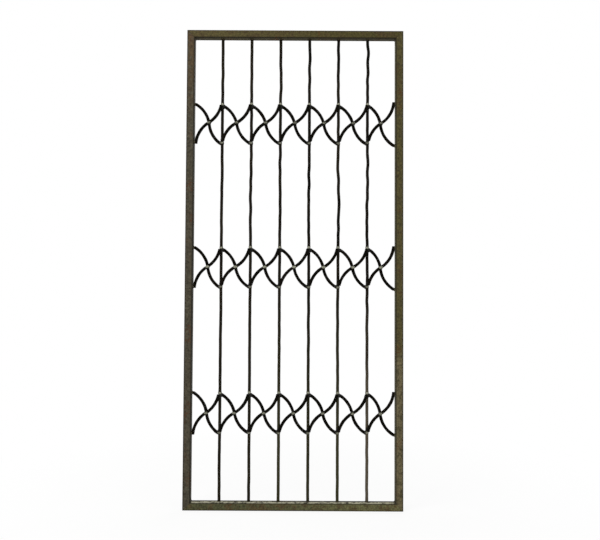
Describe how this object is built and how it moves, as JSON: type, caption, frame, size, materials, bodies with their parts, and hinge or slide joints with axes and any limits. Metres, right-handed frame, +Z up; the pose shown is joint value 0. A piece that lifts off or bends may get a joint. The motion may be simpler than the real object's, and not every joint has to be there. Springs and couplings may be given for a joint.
{
  "type": "window security bar",
  "caption": "Flat welded window grille: square-tube frame, upright round bars and bands of crossing S-shaped scrolls.",
  "frame": {"origin": "middle of the panel's foot, midway through its depth", "axes": "+X to the right seen from the front, +Y from the front to the back, +Z up"},
  "size_m": [0.7, 0.025, 1.54],
  "materials": {
    "frame_paint": "aged satin",
    "bar_paint": "aged satin",
    "scroll_paint": "satin",
    "weld_metal": "rough"
  },
  "bodies": {
    "root": {"left_stile": "frame_paint", "right_stile": "frame_paint", "top_rail": "frame_paint", "bottom_rail": "frame_paint", "upright_bar_1": "bar_paint", "upright_bar_2": "bar_paint", "upright_bar_3": "bar_paint", "upright_bar_4": "bar_paint", "upright_bar_5": "bar_paint", "upright_bar_6": "bar_paint", "lower_rising_scroll_1": "scroll_paint", "lower_rising_scroll_2": "scroll_paint", "lower_rising_scroll_3": "scroll_paint", "lower_rising_scroll_4": "scroll_paint", "lower_rising_scroll_5": "scroll_paint", "lower_rising_scroll_6": "scroll_paint", "lower_rising_scroll_7": "scroll_paint", "middle_rising_scroll_1": "scroll_paint", "middle_rising_scroll_2": "scroll_paint", "middle_rising_scroll_3": "scroll_paint", "middle_rising_scroll_4": "scroll_paint", "middle_rising_scroll_5": "scroll_paint", "middle_rising_scroll_6": "scroll_paint", "middle_rising_scroll_7": "scroll_paint", "upper_rising_scroll_1": "scroll_paint", "upper_rising_scroll_2": "scroll_paint", "upper_rising_scroll_3": "scroll_paint", "upper_rising_scroll_4": "scroll_paint", "upper_rising_scroll_5": "scroll_paint", "upper_rising_scroll_6": "scroll_paint", "upper_rising_scroll_7": "scroll_paint", "lower_falling_scroll_1": "scroll_paint", "lower_falling_scroll_2": "scroll_paint", "lower_falling_scroll_3": "scroll_paint", "lower_falling_scroll_4": "scroll_paint", "lower_falling_scroll_5": "scroll_paint", "lower_falling_scroll_6": "scroll_paint", "lower_falling_scroll_7": "scroll_paint", "middle_falling_scroll_1": "scroll_paint", "middle_falling_scroll_2": "scroll_paint", "middle_falling_scroll_3": "scroll_paint", "middle_falling_scroll_4": "scroll_paint", "middle_falling_scroll_5": "scroll_paint", "middle_falling_scroll_6": "scroll_paint", "middle_falling_scroll_7": "scroll_paint", "upper_falling_scroll_1": "scroll_paint", "upper_falling_scroll_2": "scroll_paint", "upper_falling_scroll_3": "scroll_paint", "upper_falling_scroll_4": "scroll_paint", "upper_falling_scroll_5": "scroll_paint", "upper_falling_scroll_6": "scroll_paint", "upper_falling_scroll_7": "scroll_paint", "frame_corner_welds": "weld_metal", "bar_end_welds": "weld_metal", "lower_band_welds": "weld_metal", "middle_band_welds": "weld_metal", "upper_band_welds": "weld_metal"}
  },
  "joints": []
}
